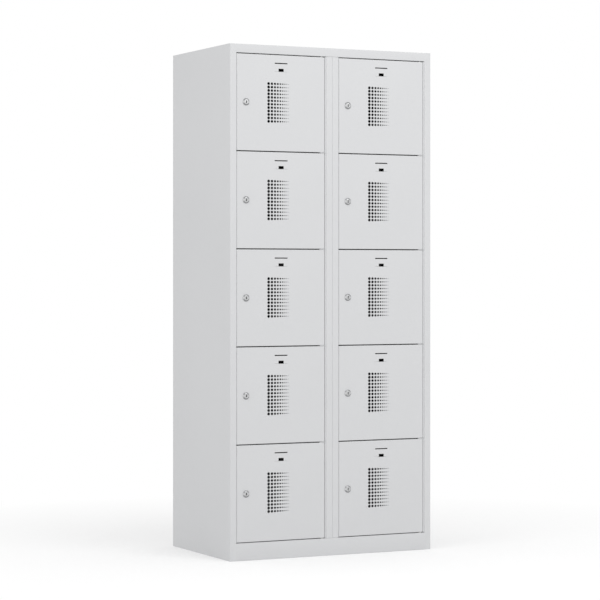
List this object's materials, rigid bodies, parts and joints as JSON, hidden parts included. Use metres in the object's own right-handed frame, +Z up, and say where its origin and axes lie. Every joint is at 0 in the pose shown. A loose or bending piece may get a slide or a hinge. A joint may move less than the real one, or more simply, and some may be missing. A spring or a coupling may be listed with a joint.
{
  "type": "compartment locker",
  "caption": "Freestanding sheet-steel compartment locker with vented, hinged doors in columns, a cam lock on each door and a closed plinth.",
  "frame": {"origin": "on the floor, under the middle of the locker's overall box", "axes": "+X to the right as seen from the front, +Y towards the back, +Z up"},
  "size_m": [0.8, 0.504, 1.8],
  "materials": {
    "grey_paint": "light grey powder coat, satin, very fine texture",
    "zinc_steel": "zinc-plated steel",
    "lock_chrome": "bright chrome plate",
    "nylon": "natural nylon"
  },
  "bodies": {
    "carcass": {"left_side_panel": "grey_paint", "right_side_panel": "grey_paint", "left_partition": "grey_paint", "right_partition": "grey_paint", "top_panel": "grey_paint", "base_panel": "grey_paint", "back_panel": "grey_paint", "shelf_L1": "grey_paint", "shelf_L2": "grey_paint", "shelf_L3": "grey_paint", "shelf_L4": "grey_paint", "shelf_R1": "grey_paint", "shelf_R2": "grey_paint", "shelf_R3": "grey_paint", "shelf_R4": "grey_paint", "hinge_rod_L": "zinc_steel", "hinge_washer_L": "nylon", "hinge_rod_R": "zinc_steel", "hinge_washer_R": "nylon"},
    "door_L1": {"door_panel_L1": "grey_paint", "lock_housing_L1": "lock_chrome"},
    "lock_L1": {"lock_plug_L1": "lock_chrome", "lock_cam_L1": "zinc_steel"},
    "door_L2": {"door_panel_L2": "grey_paint", "lock_housing_L2": "lock_chrome"},
    "lock_L2": {"lock_plug_L2": "lock_chrome", "lock_cam_L2": "zinc_steel"},
    "door_L3": {"door_panel_L3": "grey_paint", "lock_housing_L3": "lock_chrome"},
    "lock_L3": {"lock_plug_L3": "lock_chrome", "lock_cam_L3": "zinc_steel"},
    "door_L4": {"door_panel_L4": "grey_paint", "lock_housing_L4": "lock_chrome"},
    "lock_L4": {"lock_plug_L4": "lock_chrome", "lock_cam_L4": "zinc_steel"},
    "door_L5": {"door_panel_L5": "grey_paint", "lock_housing_L5": "lock_chrome"},
    "lock_L5": {"lock_plug_L5": "lock_chrome", "lock_cam_L5": "zinc_steel"},
    "door_R1": {"door_panel_R1": "grey_paint", "lock_housing_R1": "lock_chrome"},
    "lock_R1": {"lock_plug_R1": "lock_chrome", "lock_cam_R1": "zinc_steel"},
    "door_R2": {"door_panel_R2": "grey_paint", "lock_housing_R2": "lock_chrome"},
    "lock_R2": {"lock_plug_R2": "lock_chrome", "lock_cam_R2": "zinc_steel"},
    "door_R3": {"door_panel_R3": "grey_paint", "lock_housing_R3": "lock_chrome"},
    "lock_R3": {"lock_plug_R3": "lock_chrome", "lock_cam_R3": "zinc_steel"},
    "door_R4": {"door_panel_R4": "grey_paint", "lock_housing_R4": "lock_chrome"},
    "lock_R4": {"lock_plug_R4": "lock_chrome", "lock_cam_R4": "zinc_steel"},
    "door_R5": {"door_panel_R5": "grey_paint", "lock_housing_R5": "lock_chrome"},
    "lock_R5": {"lock_plug_R5": "lock_chrome", "lock_cam_R5": "zinc_steel"}
  },
  "joints": [
    {"name": "door_hinge_L1", "type": "hinge", "parent": "carcass", "child": "door_L1", "pos_m": [-0.04095, -0.24, 1.5983], "axis": [0, 0, 1], "range_deg": [0, 110]},
    {"name": "lock_turn_L1", "type": "hinge", "parent": "door_L1", "child": "lock_L1", "pos_m": [-0.339, -0.248, 1.5983], "axis": [0, 1, 0], "range_deg": [0, 90]},
    {"name": "door_hinge_L2", "type": "hinge", "parent": "carcass", "child": "door_L2", "pos_m": [-0.04095, -0.24, 1.2569], "axis": [0, 0, 1], "range_deg": [0, 110]},
    {"name": "lock_turn_L2", "type": "hinge", "parent": "door_L2", "child": "lock_L2", "pos_m": [-0.339, -0.248, 1.2569], "axis": [0, 1, 0], "range_deg": [0, 90]},
    {"name": "door_hinge_L3", "type": "hinge", "parent": "carcass", "child": "door_L3", "pos_m": [-0.04095, -0.24, 0.9155], "axis": [0, 0, 1], "range_deg": [0, 110]},
    {"name": "lock_turn_L3", "type": "hinge", "parent": "door_L3", "child": "lock_L3", "pos_m": [-0.339, -0.248, 0.9155], "axis": [0, 1, 0], "range_deg": [0, 90]},
    {"name": "door_hinge_L4", "type": "hinge", "parent": "carcass", "child": "door_L4", "pos_m": [-0.04095, -0.24, 0.5741], "axis": [0, 0, 1], "range_deg": [0, 110]},
    {"name": "lock_turn_L4", "type": "hinge", "parent": "door_L4", "child": "lock_L4", "pos_m": [-0.339, -0.248, 0.5741], "axis": [0, 1, 0], "range_deg": [0, 90]},
    {"name": "door_hinge_L5", "type": "hinge", "parent": "carcass", "child": "door_L5", "pos_m": [-0.04095, -0.24, 0.2327], "axis": [0, 0, 1], "range_deg": [0, 110]},
    {"name": "lock_turn_L5", "type": "hinge", "parent": "door_L5", "child": "lock_L5", "pos_m": [-0.339, -0.248, 0.2327], "axis": [0, 1, 0], "range_deg": [0, 90]},
    {"name": "door_hinge_R1", "type": "hinge", "parent": "carcass", "child": "door_R1", "pos_m": [0.35905, -0.24, 1.5983], "axis": [0, 0, 1], "range_deg": [0, 110]},
    {"name": "lock_turn_R1", "type": "hinge", "parent": "door_R1", "child": "lock_R1", "pos_m": [0.061, -0.248, 1.5983], "axis": [0, 1, 0], "range_deg": [0, 90]},
    {"name": "door_hinge_R2", "type": "hinge", "parent": "carcass", "child": "door_R2", "pos_m": [0.35905, -0.24, 1.2569], "axis": [0, 0, 1], "range_deg": [0, 110]},
    {"name": "lock_turn_R2", "type": "hinge", "parent": "door_R2", "child": "lock_R2", "pos_m": [0.061, -0.248, 1.2569], "axis": [0, 1, 0], "range_deg": [0, 90]},
    {"name": "door_hinge_R3", "type": "hinge", "parent": "carcass", "child": "door_R3", "pos_m": [0.35905, -0.24, 0.9155], "axis": [0, 0, 1], "range_deg": [0, 110]},
    {"name": "lock_turn_R3", "type": "hinge", "parent": "door_R3", "child": "lock_R3", "pos_m": [0.061, -0.248, 0.9155], "axis": [0, 1, 0], "range_deg": [0, 90]},
    {"name": "door_hinge_R4", "type": "hinge", "parent": "carcass", "child": "door_R4", "pos_m": [0.35905, -0.24, 0.5741], "axis": [0, 0, 1], "range_deg": [0, 110]},
    {"name": "lock_turn_R4", "type": "hinge", "parent": "door_R4", "child": "lock_R4", "pos_m": [0.061, -0.248, 0.5741], "axis": [0, 1, 0], "range_deg": [0, 90]},
    {"name": "door_hinge_R5", "type": "hinge", "parent": "carcass", "child": "door_R5", "pos_m": [0.35905, -0.24, 0.2327], "axis": [0, 0, 1], "range_deg": [0, 110]},
    {"name": "lock_turn_R5", "type": "hinge", "parent": "door_R5", "child": "lock_R5", "pos_m": [0.061, -0.248, 0.2327], "axis": [0, 1, 0], "range_deg": [0, 90]}
  ]
}
